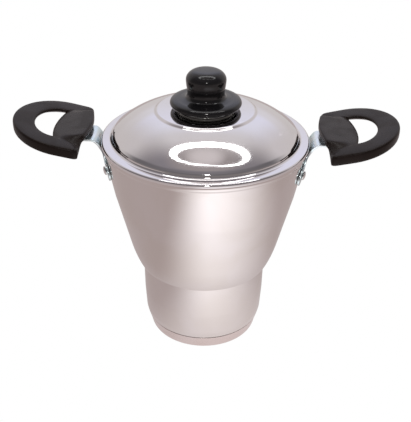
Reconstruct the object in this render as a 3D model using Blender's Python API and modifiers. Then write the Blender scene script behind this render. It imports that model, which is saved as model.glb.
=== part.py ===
"""Tall lidded cooking pot: a tapered steel body on a capped base, two loop handles, a loose domed lid.

Units are metres and +Z is up.  The origin is the centre of the underside, +X points at the right
handle and -Y at the front.  Every separate piece is its own object in the collection "cooking_pot".
"""
import math

import bmesh
import bpy
from mathutils import Matrix, Vector

MM = 0.001
GAP = 0.3 * MM                 # clearance kept between touching pieces

# ---- pot body ------------------------------------------------------------------------------------
TURN_STEPS = 40                # facets of every large turned piece, so that their flats line up
WALL = 1.2 * MM                # body sheet
RIM_CENTRE_R = 91.7 * MM       # rolled rim: an upright oval
RIM_CENTRE_Z = 200.2 * MM
RIM_HALF_W = 2.2 * MM
RIM_HALF_H = 3.8 * MM
WALL_TOP_Z = 195.8 * MM
CREASE_R = 85.0 * MM           # faint ring where the taper changes
CREASE_Z = 153.2 * MM
UPPER_SLOPE = 0.2              # taper just above the crease
UPPER_CURVE = 0.7              # how fast that taper eases towards the rim, per metre
SHOULDER_TOP = (72.3 * MM, 101.2 * MM)
SHOULDER_MID = (68.6 * MM, 86.1 * MM)
SHOULDER_END = (63.3 * MM, 76.1 * MM)
NECK_R = 59.8 * MM             # the narrow lower tier starts here
NECK_Z = 74.2 * MM
TIER_LOW_R = 58.1 * MM
TIER_LOW_Z = 19.9 * MM

# ---- capped base ---------------------------------------------------------------------------------
SEAM_Z = 13.0 * MM             # upper edge of the steel cap
SEAM_R = 56.4 * MM
CAP_SHEET = 0.8 * MM
FOOT_R = 52.0 * MM             # flat of the underside
CORE_TOP_Z = 6.1 * MM

# ---- lid -----------------------------------------------------------------------------------------
LID_R = 95.0 * MM
LID_SHEET = 0.9 * MM
LIP_LOW_Z = 202.0 * MM         # the turned-down lip hangs just outside the rolled rim
FLANGE_Z = 205.2 * MM
DOME_FOOT = (83.2 * MM, 211.3 * MM)
DOME_TOP = (46.2 * MM, 230.0 * MM)
DOME_SWEEP = math.radians(28.0)
PLATEAU_R = 44.4 * MM
PLATEAU_Z = 232.4 * MM
LID_BORE_R = 2.8 * MM

# ---- knob ----------------------------------------------------------------------------------------
SEAT_R = 26.0 * MM
SEAT_SHEET = 2.2 * MM
KNOB_LOW_Z = PLATEAU_Z + SEAT_SHEET + 2.0 * GAP
KNOB_HEIGHT = 32.6 * MM
SKIRT_R = 32.2 * MM
SCREW_R = 2.0 * MM

# ---- grips and brackets ---------------------------------------------------------------------------
GRIP_TILT = 0.216              # the loop rises outwards, metres per metre
GRIP_REF = (119.7 * MM, 212.1 * MM)
LOOP_CENTRE_X = 130.0 * MM
LOOP_HALF_LENGTH = 44.2 * MM
LOOP_HALF_WIDTH = 48.8 * MM
LOOP_END_X = 109.6 * MM        # the loop's two ends stop here, in front of the pot
HOLE_CENTRE_X = 134.0 * MM
HOLE_HALF_LENGTH = 20.7 * MM
HOLE_HALF_WIDTH = 28.5 * MM
HOLE_INNER_X = 138.2 * MM      # the web's edge in the hole, at the middle and at the corners
HOLE_CORNER_X = 133.4 * MM
TONGUE_X = 102.6 * MM          # the web reaches this close to the pot axis
TONGUE_Z = 217.0 * MM
WEB_HOLE_Z = 212.2 * MM
BOSS_LOW_Z = 195.6 * MM
BOSS_HALF_W = 29.5 * MM
GRIP_SCREW_X = 118.0 * MM
ARM_Z = 204.6 * MM             # middle of the flat end of the bracket arm
ARM_HALF_W = 16.0 * MM
ARM_END_X = 125.0 * MM
BRACKET_SHEET = 2.0 * MM
EAR_Z = 178.6 * MM
EAR_R = 7.6 * MM
RIVET_OFFSET = 26.4 * MM       # each rivet's distance from the bracket's middle plane
RIVET_Z = 181.2 * MM
RIVET_R = 2.2 * MM
RIVET_HEAD_R = 4.2 * MM


# =================================== helpers ======================================================
def new_collection(name):
    coll = bpy.data.collections.new(name)
    bpy.context.scene.collection.children.link(coll)
    return coll


def material(name, colour, metallic, roughness):
    mat = bpy.data.materials.new(name)
    mat.use_nodes = True
    shader = mat.node_tree.nodes["Principled BSDF"]
    shader.inputs["Base Color"].default_value = (*colour, 1.0)
    shader.inputs["Metallic"].default_value = metallic
    shader.inputs["Roughness"].default_value = roughness
    return mat


def add_object(name, bm, coll, mat=None, smooth_deg=35.0):
    mesh = bpy.data.meshes.new(name)
    bm.to_mesh(mesh)
    bm.free()
    obj = bpy.data.objects.new(name, mesh)
    coll.objects.link(obj)
    if mat is not None:
        mesh.materials.append(mat)
        mesh.shade_smooth()
        mesh.set_sharp_from_angle(angle=math.radians(smooth_deg))
    return obj


def profile_mesh(points, closed):
    bm = bmesh.new()
    verts = [bm.verts.new((r, 0.0, z)) for r, z in points]
    for a, b in zip(verts, verts[1:]):
        bm.edges.new((a, b))
    if closed:
        bm.edges.new((verts[-1], verts[0]))
    return bm


def turned(name, points, coll, mat, steps=TURN_STEPS, closed=False):
    """Solid of revolution about Z; points run down the outer side."""
    obj = add_object(name, profile_mesh(points, closed), coll)
    screw = obj.modifiers.new("turn", "SCREW")
    screw.axis = "Z"
    screw.angle = 2.0 * math.pi
    screw.steps = steps
    screw.render_steps = steps
    screw.use_merge_vertices = True
    screw.merge_threshold = 0.00001
    screw.use_smooth_shade = True
    obj.data.materials.append(mat)
    return obj


def cylinder_cutter(name, coll, radius, depth, matrix, sides=16):
    bm = bmesh.new()
    bmesh.ops.create_cone(bm, cap_ends=True, segments=sides, radius1=radius, radius2=radius, depth=depth)
    obj = add_object(name, bm, coll)
    obj.matrix_world = matrix
    obj.hide_render = True
    obj.display_type = "WIRE"
    return obj


def box_cutter(name, coll, low, high):
    bm = bmesh.new()
    bmesh.ops.create_cube(bm, size=1.0)
    for vert in bm.verts:
        for i in range(3):
            vert.co[i] = low[i] if vert.co[i] < 0.0 else high[i]
    obj = add_object(name, bm, coll)
    obj.hide_render = True
    obj.display_type = "WIRE"
    return obj


def cut(obj, cutter):
    mod = obj.modifiers.new("cut", "BOOLEAN")
    mod.operation = "DIFFERENCE"
    mod.solver = "EXACT"
    mod.object = cutter


def offset_line(points, distance):
    """The same line moved by distance to its right-hand side, corner by corner."""
    moved = []
    for i, (r, z) in enumerate(points):
        r0, z0 = points[max(i - 1, 0)]
        r1, z1 = points[min(i + 1, len(points) - 1)]
        dr, dz = r1 - r0, z1 - z0
        length = math.hypot(dr, dz)
        moved.append((r + dz / length * distance, z - dr / length * distance))
    return moved


def bezier(p0, p1, p2, count):
    points = []
    for i in range(count + 1):
        t = i / count
        points.append(tuple((1 - t) ** 2 * a + 2 * t * (1 - t) * b + t * t * c for a, b, c in zip(p0, p1, p2)))
    return points


def arc(centre_r, centre_z, half_r, half_z, start_deg, end_deg, count):
    points = []
    for i in range(count + 1):
        angle = math.radians(start_deg + (end_deg - start_deg) * i / count)
        points.append((centre_r + half_r * math.cos(angle), centre_z + half_z * math.sin(angle)))
    return points


def mix(a, b, t):
    return a + (b - a) * t


def smoothstep(low, high, x):
    t = min(max((x - low) / (high - low), 0.0), 1.0)
    return t * t * (3.0 - 2.0 * t)


# =================================== pot and base =================================================
def upper_wall_r(z):
    """Outer radius of the wall between the crease and the rim."""
    rise = z - CREASE_Z
    return CREASE_R + UPPER_SLOPE * rise - UPPER_CURVE * rise * rise


def wall_line():
    """Outer side of the body, from under the rim down to the seam."""
    line = []
    for k in range(3):
        z = mix(WALL_TOP_Z, CREASE_Z, k / 3)
        line.append((upper_wall_r(z), z))
    line.append((CREASE_R, CREASE_Z))
    line += bezier(SHOULDER_TOP, SHOULDER_MID, SHOULDER_END, 4)
    line.append((NECK_R, NECK_Z))
    line.append((mix(NECK_R, TIER_LOW_R, 0.3), mix(NECK_Z, TIER_LOW_Z, 0.6)))
    line.append((TIER_LOW_R, TIER_LOW_Z))
    line.append((SEAM_R + 0.3 * MM, SEAM_Z + 2.0 * GAP))
    return line


def build_pot_body(coll, mat):
    outer = wall_line()
    inner = offset_line(outer[:-1], WALL)
    inner.reverse()
    floor_in = CORE_TOP_Z + GAP + WALL
    floor_out = CORE_TOP_Z + GAP
    tuck = CAP_SHEET + 2.0 * GAP
    profile = [(0.0, floor_in), (47.5 * MM, floor_in), (51.4 * MM, 9.8 * MM), (53.7 * MM, 14.0 * MM)]
    profile += inner
    profile += arc(RIM_CENTRE_R, RIM_CENTRE_Z, RIM_HALF_W, RIM_HALF_H, 235.0, -55.0, 9)
    profile += outer
    profile += [(SEAM_R - tuck, SEAM_Z + 2.0 * GAP), (53.4 * MM, 8.6 * MM), (51.6 * MM, floor_out)]
    profile.append((0.0, floor_out))
    return turned("pot_body", profile, coll, mat)


def cap_line():
    return [(SEAM_R, SEAM_Z), (54.8 * MM, 8.0 * MM), (53.6 * MM, 3.0 * MM), (53.0 * MM, 0.9 * MM), (FOOT_R, 0.0)]


def build_base(coll, cap_mat, core_mat):
    outer = cap_line()
    inner = offset_line(outer, CAP_SHEET)
    inner[-1] = (FOOT_R - 0.3 * MM, CAP_SHEET)
    inner.reverse()
    turned("base_cap", [(0.0, CAP_SHEET)] + inner + outer + [(0.0, 0.0)], coll, cap_mat)
    low = CAP_SHEET + GAP
    core = [(0.0, CORE_TOP_Z), (52.3 * MM, CORE_TOP_Z), (51.3 * MM, 2.9 * MM), (49.8 * MM, low), (0.0, low)]
    turned("base_core", core, coll, core_mat)


# =================================== lid and knob =================================================
def dome_arc(count):
    """Arc from the plateau ring out to the dome's foot."""
    (r0, z0), (r1, z1) = DOME_TOP, DOME_FOOT
    chord = math.hypot(r1 - r0, z1 - z0)
    lean = math.atan2(z1 - z0, r1 - r0)
    radius = chord / (2.0 * math.sin(DOME_SWEEP / 2.0))
    normal = lean + math.pi / 2.0
    depth = radius * math.cos(DOME_SWEEP / 2.0)
    centre = ((r0 + r1) / 2.0 - depth * math.cos(normal), (z0 + z1) / 2.0 - depth * math.sin(normal))
    points = []
    for i in range(count + 1):
        angle = normal + DOME_SWEEP / 2.0 - DOME_SWEEP * i / count
        points.append((centre[0] + radius * math.cos(angle), centre[1] + radius * math.sin(angle)))
    return points


def lid_top_line():
    line = [(LID_BORE_R, PLATEAU_Z), (26.0 * MM, PLATEAU_Z), (PLATEAU_R - 0.8 * MM, PLATEAU_Z - 0.5 * MM)]
    line.append((PLATEAU_R + 0.3 * MM, PLATEAU_Z - 1.1 * MM))
    line += dome_arc(5)
    line += [(85.0 * MM, 208.8 * MM), (85.6 * MM, 206.3 * MM), (87.2 * MM, 205.35 * MM)]
    line += arc(LID_R - 2.0 * MM, FLANGE_Z - 1.8 * MM, 2.0 * MM, 1.8 * MM, 90.0, 0.0, 3)
    line.append((LID_R, LIP_LOW_Z))
    return line


def build_lid(coll, mat):
    top = lid_top_line()
    under = offset_line(top, LID_SHEET)
    under[0] = (LID_BORE_R, PLATEAU_Z - LID_SHEET)
    under.reverse()
    return turned("lid_shell", top + under, coll, mat, closed=True)


def knob_line():
    """Outer side of the knob, from the middle of its top down to the skirt's edge."""
    z0 = KNOB_LOW_Z
    top = z0 + KNOB_HEIGHT
    line = [(0.0, top), (9.5 * MM, top - 0.3 * MM), (13.6 * MM, top - 1.6 * MM), (16.5 * MM, top - 4.2 * MM)]
    line += [(17.9 * MM, top - 7.6 * MM), (17.4 * MM, top - 12.9 * MM), (16.3 * MM, z0 + 14.0 * MM)]
    line += [(16.8 * MM, z0 + 10.1 * MM), (18.8 * MM, z0 + 7.2 * MM), (22.5 * MM, z0 + 6.4 * MM)]
    line += [(26.5 * MM, z0 + 6.2 * MM), (30.0 * MM, z0 + 5.2 * MM), (31.8 * MM, z0 + 3.7 * MM)]
    line += [(SKIRT_R, z0 + 2.4 * MM), (SKIRT_R - 0.8 * MM, z0 + 0.8 * MM), (SKIRT_R - 2.4 * MM, z0)]
    return line


def build_knob(coll, knob_mat, brass_mat, steel_mat):
    z0 = KNOB_LOW_Z
    insert_r, insert_h = 4.5 * MM, 13.0 * MM
    pocket_r = insert_r + GAP
    profile = knob_line()
    profile += [(pocket_r, z0), (pocket_r, z0 + insert_h + GAP), (0.0, z0 + insert_h + GAP)]
    turned("knob", profile, coll, knob_mat, steps=28)
    bore = SCREW_R + GAP
    insert = [(bore, z0 + insert_h), (insert_r, z0 + insert_h), (insert_r, z0), (bore, z0)]
    turned("knob_insert", insert, coll, brass_mat, steps=16, closed=True)
    seat_top = z0 - GAP
    hole = LID_BORE_R
    seat = [(hole, seat_top), (SEAT_R, seat_top), (SEAT_R, seat_top - SEAT_SHEET), (hole, seat_top - SEAT_SHEET)]
    turned("knob_seat", seat, coll, steel_mat, steps=28, closed=True)
    washer_top = PLATEAU_Z - LID_SHEET - GAP
    washer = [(hole, washer_top), (7.0 * MM, washer_top), (7.0 * MM, washer_top - MM), (hole, washer_top - MM)]
    turned("knob_screw_washer", washer, coll, steel_mat, steps=16, closed=True)
    head_top = washer_top - MM - GAP
    tip = z0 + insert_h - MM
    screw = [(0.0, tip), (SCREW_R - 0.4 * MM, tip), (SCREW_R, tip - 0.6 * MM), (SCREW_R, head_top)]
    screw += [(4.4 * MM, head_top), (4.3 * MM, head_top - 1.6 * MM), (3.0 * MM, head_top - 2.6 * MM)]
    screw.append((0.0, head_top - 2.9 * MM))
    turned("knob_screw", screw, coll, steel_mat, steps=16)


# =================================== grips =======================================================
def loop_top_z(x):
    """Plane of the loop's upper face."""
    return GRIP_REF[1] + GRIP_TILT * (x - GRIP_REF[0])


def oval_point(centre_x, half_length, half_width, deg):
    angle = math.radians(deg)
    return (centre_x + half_length * math.cos(angle), half_width * math.sin(angle))


def loop_stations():
    """Pairs of hole-edge and outer-edge points round one half of the loop, ending at the crease."""
    pairs = []
    count = 9
    for i in range(count + 1):
        deg = 90.0 * i / count
        pairs.append((oval_point(HOLE_CENTRE_X, HOLE_HALF_LENGTH, HOLE_HALF_WIDTH, deg),
                      oval_point(LOOP_CENTRE_X, LOOP_HALF_LENGTH, LOOP_HALF_WIDTH, deg)))
    edge_y = LOOP_HALF_WIDTH - 0.4 * MM
    pairs.append(((133.7 * MM, 28.2 * MM), (119.0 * MM, edge_y)))
    pairs.append(((133.5 * MM, 28.0 * MM), (LOOP_END_X + 1.6 * MM, edge_y)))
    pairs.append(((133.4 * MM, 27.8 * MM), (LOOP_END_X, edge_y - 2.2 * MM)))
    return pairs


def web_stations():
    """The same for the web and its tongue, from the crease to the middle plane."""
    outer = [(LOOP_END_X, 38.6 * MM), (109.2 * MM, 33.5 * MM), (108.5 * MM, 30.6 * MM), (107.6 * MM, 29.3 * MM)]
    outer += [(106.7 * MM, 28.3 * MM), (106.1 * MM, 26.6 * MM), (105.4 * MM, 23.5 * MM), (104.1 * MM, 16.8 * MM)]
    outer += [(103.0 * MM, 8.8 * MM), (TONGUE_X, 0.0)]
    pairs = []
    for i, point in enumerate(outer):
        y = 27.4 * MM * (1.0 - i / (len(outer) - 1))
        bulge = 1.0 - (y / HOLE_HALF_WIDTH) ** 2
        pairs.append(((mix(HOLE_CORNER_X, HOLE_INNER_X, bulge), y), point))
    return pairs


def web_top_z(x, y):
    """Flat web: it rises towards the pot, and falls to the loop at each side."""
    t = (HOLE_INNER_X - x) / (HOLE_INNER_X - TONGUE_X)
    side = loop_top_z(x) - 0.8 * MM
    return mix(mix(WEB_HOLE_Z, TONGUE_Z, t), side, smoothstep(27.0 * MM, 38.0 * MM, abs(y)))


def loop_section(inner, outer):
    """Section of the loop: a flat top, thin at the hole and deep at the outside."""
    ring = []
    levels = [(0.00, -0.7, -2.4), (0.07, -0.2, -3.6), (0.25, 0.0, -5.6), (0.50, 0.0, -8.2)]
    levels += [(0.78, 0.0, -10.2), (0.93, -0.3, -10.0), (0.985, -1.3, -9.0), (1.00, -3.2, -7.6)]
    for s, up, low in levels:
        x, y = mix(inner[0], outer[0], s), mix(inner[1], outer[1], s)
        ring.append((x, y, loop_top_z(x) + up * MM))
    for s, up, low in reversed(levels):
        x, y = mix(inner[0], outer[0], s), mix(inner[1], outer[1], s)
        ring.append((x, y, loop_top_z(x) + low * MM))
    return ring


def web_section(inner, outer):
    """Section of the web: a plate from the hole to the tongue, with a deep boss under its middle."""
    ring = []
    stops = (0.00, 0.05, 0.28, 0.37, 0.73, 0.80, 0.97, 1.00)
    boss_stops = (0.37, 0.73)
    edge_drop = 0.9 * MM
    over_boss = abs(outer[1]) < BOSS_HALF_W
    for s in stops:
        x, y = mix(inner[0], outer[0], s), mix(inner[1], outer[1], s)
        ring.append((x, y, web_top_z(x, y) - (edge_drop if s in (0.00, 1.00) else 0.0)))
    for s in reversed(stops):
        x, y = mix(inner[0], outer[0], s), mix(inner[1], outer[1], s)
        under = web_top_z(x, y) - mix(3.0, 7.0, s) * MM
        if s in boss_stops and over_boss:
            under = BOSS_LOW_Z
        ring.append((x, y, under + (edge_drop if s == 1.00 else 0.0)))
    return ring


def grip_bmesh(side):
    """Ring of sections right round the finger hole; side is +1 for right, -1 for left."""
    half = [loop_section(*pair) for pair in loop_stations()]
    half += [web_section(*pair) for pair in web_stations()]
    back = [[(x, -y, z) for x, y, z in ring] for ring in half[-2:0:-1]]
    rings = half + back
    bm = bmesh.new()
    grid = [[bm.verts.new((side * x, side * y, z)) for x, y, z in ring] for ring in rings]
    for i, row in enumerate(grid):
        nxt = grid[(i + 1) % len(grid)]
        for j in range(len(row)):
            k = (j + 1) % len(row)
            bm.faces.new((row[j], nxt[j], nxt[k], row[k]))
    bmesh.ops.recalc_face_normals(bm, faces=bm.faces)
    return bm


def build_grip(side, coll, cutters, grip_mat, brass_mat, steel_mat):
    name = "right" if side > 0 else "left"
    grip = add_object(name + "_grip", grip_bmesh(side), coll, grip_mat)
    x0 = side * GRIP_SCREW_X
    slot_x = sorted((side * 95.0 * MM, side * (ARM_END_X + GAP)))
    half_slot = ARM_HALF_W + GAP
    slot_low = ARM_Z - BRACKET_SHEET / 2.0 - GAP
    slot_high = ARM_Z + BRACKET_SHEET / 2.0 + GAP
    cut(grip, box_cutter(name + "_slot_cutter", cutters, (slot_x[0], -half_slot, slot_low),
                         (slot_x[1], half_slot, slot_high)))
    head_r, head_h, washer_h = 4.2 * MM, 2.6 * MM, 0.8 * MM
    seat_z = 199.8 * MM
    insert_r, insert_top = 3.6 * MM, 212.2 * MM
    cuts = ((head_r + GAP + 0.2 * MM, BOSS_LOW_Z - 3.0 * MM, seat_z), (SCREW_R + GAP, seat_z - MM, slot_low + MM),
            (insert_r + GAP, slot_low + MM, insert_top + GAP))
    for i, (radius, low, high) in enumerate(cuts):
        matrix = Matrix.Translation((x0, 0.0, (low + high) / 2.0))
        cut(grip, cylinder_cutter("%s_grip_bore_%d" % (name, i), cutters, radius, high - low, matrix))
    bore = SCREW_R + GAP
    low = slot_high
    insert = [(bore, insert_top), (insert_r, insert_top), (insert_r, low), (bore, low)]
    turned(name + "_grip_insert", insert, coll, brass_mat, steps=16, closed=True).location.x = x0
    top = seat_z - GAP
    washer = [(bore, top), (head_r - 0.2 * MM, top), (head_r - 0.2 * MM, top - washer_h), (bore, top - washer_h)]
    turned(name + "_lock_washer", washer, coll, steel_mat, steps=16, closed=True).location.x = x0
    head = top - washer_h - GAP
    tip = insert_top - 0.8 * MM
    screw = [(0.0, tip), (SCREW_R - 0.4 * MM, tip), (SCREW_R, tip - 0.6 * MM), (SCREW_R, head), (head_r, head)]
    screw += [(head_r - 0.1 * MM, head - 1.4 * MM), (head_r - 1.2 * MM, head - head_h), (0.0, head - head_h - 0.3 * MM)]
    turned(name + "_grip_screw", screw, coll, steel_mat, steps=16).location.x = x0


# =================================== brackets and rivets ==========================================
def bracket_rows():
    """Rows up the sheet: (x, z, half width, how much it hugs the wall, crown)."""
    stand_off = GAP + 0.05 * MM + BRACKET_SHEET / 2.0
    rows = []
    count = 6
    for i in range(count + 1):
        deg = -80.0 + 160.0 * i / count
        z = EAR_Z + EAR_R * math.sin(math.radians(deg))
        half = RIVET_OFFSET + EAR_R * math.cos(math.radians(deg))
        rows.append((upper_wall_r(z) + stand_off, z, half, 1.0, 0.0))
    rows.append((upper_wall_r(188.8 * MM) + stand_off, 188.8 * MM, 18.5 * MM, 1.0, 0.0))
    rows.append((93.7 * MM, 192.6 * MM, 14.8 * MM, 0.9, 0.0))
    rows.append((95.9 * MM, 196.4 * MM, 13.6 * MM, 0.7, 0.2 * MM))
    rows.append((97.4 * MM, 199.8 * MM, 13.6 * MM, 0.5, 0.6 * MM))
    rows.append((99.0 * MM, 202.4 * MM, 14.4 * MM, 0.2, 0.8 * MM))
    rows.append((100.8 * MM, 204.1 * MM, 15.2 * MM, 0.0, 0.4 * MM))
    rows.append((103.0 * MM, ARM_Z, ARM_HALF_W - 0.3 * MM, 0.0, 0.0))
    rows.append((ARM_END_X - 3.0 * MM, ARM_Z, ARM_HALF_W - 0.3 * MM, 0.0, 0.0))
    rows.append((ARM_END_X, ARM_Z, ARM_HALF_W - 3.0 * MM, 0.0, 0.0))
    return rows


def build_bracket(side, coll, cutters, mat):
    name = "right" if side > 0 else "left"
    columns = 12
    bm = bmesh.new()
    grid = []
    for x, z, half, hug, crown in bracket_rows():
        row = []
        for j in range(columns + 1):
            t = 2.0 * j / columns - 1.0
            y = half * t
            bulge = hug * (x - math.sqrt(x * x - y * y))
            row.append(bm.verts.new((side * (x - bulge), side * y, z - crown * t * t)))
        grid.append(row)
    for low, high in zip(grid, grid[1:]):
        for j in range(columns):
            bm.faces.new((low[j], low[j + 1], high[j + 1], high[j]))
    bracket = add_object(name + "_bracket", bm, coll, mat)
    shell = bracket.modifiers.new("sheet", "SOLIDIFY")
    shell.thickness = BRACKET_SHEET
    shell.offset = 0.0
    matrix = Matrix.Translation((side * GRIP_SCREW_X, 0.0, ARM_Z))
    cut(bracket, cylinder_cutter(name + "_arm_bore", cutters, SCREW_R + GAP, 8.0 * MM, matrix))
    return bracket


def rivet_matrix(side, lateral):
    """Place and axis of a rivet: its +Z runs out through the wall, square to it."""
    radius = upper_wall_r(RIVET_Z)
    swing = math.asin(RIVET_OFFSET / radius) * lateral
    rise = RIVET_Z - CREASE_Z
    slope = UPPER_SLOPE - 2.0 * UPPER_CURVE * rise
    out = Vector((side * math.cos(swing), side * math.sin(swing), 0.0))
    axis = (out - Vector((0.0, 0.0, slope))).normalized()
    matrix = axis.to_track_quat("Z", "Y").to_matrix().to_4x4()
    matrix.translation = out * radius + Vector((0.0, 0.0, RIVET_Z))
    return matrix


def build_rivet(name, matrix, coll, mat):
    """Turned about its own axis; local z is 0 on the wall's outer face."""
    head = BRACKET_SHEET + 2.0 * GAP + 0.35 * MM
    tail = -WALL - 2.0 * GAP
    line = [(0.0, head + 2.1 * MM), (2.4 * MM, head + 1.7 * MM), (3.8 * MM, head + 0.8 * MM), (RIVET_HEAD_R, head)]
    line += [(RIVET_R, head), (RIVET_R, tail), (RIVET_HEAD_R, tail), (3.6 * MM, tail - 0.9 * MM)]
    line.append((0.0, tail - 1.3 * MM))
    turned(name, line, coll, mat, steps=12).matrix_world = matrix


# =================================== assembly ====================================================
def main():
    for obj in list(bpy.data.objects):
        bpy.data.objects.remove(obj, do_unlink=True)
    coll = new_collection("cooking_pot")
    cutters = new_collection("cutters")

    satin_steel = material("satin_steel", (0.66, 0.60, 0.55), 1.0, 0.32)
    mirror_steel = material("mirror_steel", (0.76, 0.74, 0.74), 1.0, 0.10)
    core_aluminium = material("core_aluminium", (0.80, 0.81, 0.82), 1.0, 0.45)
    zinc_steel = material("zinc_steel", (0.62, 0.70, 0.70), 1.0, 0.28)
    rivet_steel = material("rivet_steel", (0.75, 0.74, 0.73), 1.0, 0.22)
    black_phenolic = material("black_phenolic", (0.012, 0.010, 0.010), 0.0, 0.28)
    brass = material("insert_brass", (0.78, 0.60, 0.30), 1.0, 0.35)

    pot_body = build_pot_body(coll, satin_steel)
    build_base(coll, satin_steel, core_aluminium)
    build_lid(coll, mirror_steel)
    build_knob(coll, black_phenolic, brass, zinc_steel)
    for side, name in ((1, "right"), (-1, "left")):
        build_grip(side, coll, cutters, black_phenolic, brass, zinc_steel)
        bracket = build_bracket(side, coll, cutters, zinc_steel)
        for lateral, place in ((-side, "front"), (side, "rear")):
            matrix = rivet_matrix(side, lateral)
            bore = cylinder_cutter("%s_%s_rivet_bore" % (name, place), cutters, RIVET_R + GAP, 16.0 * MM, matrix)
            cut(bracket, bore)
            cut(pot_body, bore)
            build_rivet("%s_rivet_%s" % (name, place), matrix, coll, rivet_steel)


main()
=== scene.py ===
import math

import bmesh
import bpy
from mathutils import Matrix, Quaternion, Vector


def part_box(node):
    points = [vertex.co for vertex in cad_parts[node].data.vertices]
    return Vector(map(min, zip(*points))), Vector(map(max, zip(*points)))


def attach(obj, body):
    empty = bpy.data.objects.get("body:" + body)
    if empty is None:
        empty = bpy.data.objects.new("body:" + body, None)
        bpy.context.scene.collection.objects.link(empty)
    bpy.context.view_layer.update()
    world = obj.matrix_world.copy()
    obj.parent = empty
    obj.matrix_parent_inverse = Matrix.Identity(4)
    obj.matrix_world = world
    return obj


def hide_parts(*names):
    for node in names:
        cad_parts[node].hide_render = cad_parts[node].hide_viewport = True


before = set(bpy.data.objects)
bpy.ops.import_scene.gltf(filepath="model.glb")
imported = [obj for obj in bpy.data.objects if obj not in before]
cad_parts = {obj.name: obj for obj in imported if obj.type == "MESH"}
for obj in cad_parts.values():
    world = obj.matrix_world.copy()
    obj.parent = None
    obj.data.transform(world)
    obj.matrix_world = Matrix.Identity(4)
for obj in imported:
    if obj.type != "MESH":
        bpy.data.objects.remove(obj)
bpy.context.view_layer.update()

# Looks of the tall lidded cooking pot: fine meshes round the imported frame, procedural finishes, a pale
# floor with soft light, and the camera.  Metres, +Z up, +X at the right handle, -Y at the front.

MM = 0.001
GAP = 0.3 * MM                 # clearance between touching pieces, as in the frame
ROUND_STEPS = 144              # facets round a large turned piece

# ---- driving sizes, read from the frame where a box gives them --------------------------------------
BODY_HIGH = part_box("pot_body")[1]
CAP_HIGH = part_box("base_cap")[1]
LID_LOW, LID_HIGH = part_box("lid_shell")
SEAT_LOW, SEAT_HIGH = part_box("knob_seat")
KNOB_LOW, KNOB_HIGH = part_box("knob")
GRIP_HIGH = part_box("right_grip")[1]

WALL = 1.2 * MM
RIM_HALF_W = 2.2 * MM
RIM_HALF_H = 3.8 * MM
RIM_CENTRE_R = BODY_HIGH.x - RIM_HALF_W
RIM_CENTRE_Z = BODY_HIGH.z - RIM_HALF_H
WALL_TOP_Z = 195.8 * MM
CREASE_R = 85.0 * MM
CREASE_Z = 153.2 * MM
UPPER_SLOPE = 0.2
UPPER_CURVE = 0.7
SHOULDER_TOP = (72.3 * MM, 101.2 * MM)
SHOULDER_MID = (68.6 * MM, 86.1 * MM)
SHOULDER_END = (63.3 * MM, 76.1 * MM)
NECK = (59.8 * MM, 74.2 * MM)
TIER_MID = (59.3 * MM, 41.6 * MM)
TIER_LOW = (58.1 * MM, 19.9 * MM)

SEAM_R = 56.4 * MM
SEAM_Z = CAP_HIGH.z
CAP_SHEET = 0.8 * MM
FOOT_R = 52.0 * MM
CORE_TOP_Z = 6.1 * MM

LID_R = LID_HIGH.x
LID_SHEET = 0.9 * MM
LIP_LOW_Z = LID_LOW.z
FLANGE_Z = 205.2 * MM
DOME_FOOT = (83.2 * MM, 211.3 * MM)
DOME_TOP = (46.2 * MM, 230.0 * MM)
DOME_SWEEP = math.radians(28.0)
PLATEAU_R = 44.4 * MM
PLATEAU_Z = LID_HIGH.z
LID_BORE_R = 2.8 * MM

SEAT_R = SEAT_HIGH.x
KNOB_LOW_Z = KNOB_LOW.z
KNOB_TOP_Z = KNOB_HIGH.z
SKIRT_R = KNOB_HIGH.x
SCREW_R = 2.0 * MM

GRIP_TILT = 0.216
GRIP_REF = (119.7 * MM, 212.1 * MM)
LOOP_CENTRE_X = 130.0 * MM
LOOP_HALF_LENGTH = GRIP_HIGH.x - LOOP_CENTRE_X
LOOP_HALF_WIDTH = GRIP_HIGH.y
LOOP_END_X = 109.6 * MM
HOLE_CENTRE_X = 134.0 * MM
HOLE_HALF_LENGTH = 20.7 * MM
HOLE_HALF_WIDTH = 28.5 * MM
HOLE_INNER_X = 138.2 * MM
HOLE_CORNER_X = 133.4 * MM
TONGUE_X = 102.6 * MM
TONGUE_Z = 217.0 * MM
WEB_HOLE_Z = 212.2 * MM
BOSS_LOW_Z = 195.6 * MM
BOSS_HALF_W = 29.5 * MM
GRIP_SCREW_X = 118.0 * MM
ARM_Z = 204.6 * MM
ARM_HALF_W = 16.0 * MM
ARM_END_X = 125.0 * MM
BRACKET_SHEET = 2.0 * MM
EAR_Z = 178.6 * MM
EAR_R = 7.6 * MM
RIVET_OFFSET = 26.4 * MM
RIVET_Z = 181.2 * MM
RIVET_R = 2.2 * MM
RIVET_HEAD_R = 4.2 * MM


# =================================== lines =======================================================
def mix(a, b, t):
    return a + (b - a) * t


def smoothstep(low, high, x):
    t = min(max((x - low) / (high - low), 0.0), 1.0)
    return t * t * (3.0 - 2.0 * t)


def toward(a, b, distance):
    """The point that far from a, on the way to b."""
    share = distance / math.dist(a, b)
    return tuple(mix(p, q, share) for p, q in zip(a, b))


def bezier(p0, p1, p2, count):
    points = []
    for i in range(count + 1):
        t = i / count
        points.append(tuple((1 - t) ** 2 * a + 2 * t * (1 - t) * b + t * t * c
                            for a, b, c in zip(p0, p1, p2)))
    return points


def arc(centre_r, centre_z, half_r, half_z, start_deg, end_deg, count):
    points = []
    for i in range(count + 1):
        angle = math.radians(start_deg + (end_deg - start_deg) * i / count)
        points.append((centre_r + half_r * math.cos(angle), centre_z + half_z * math.sin(angle)))
    return points


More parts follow.
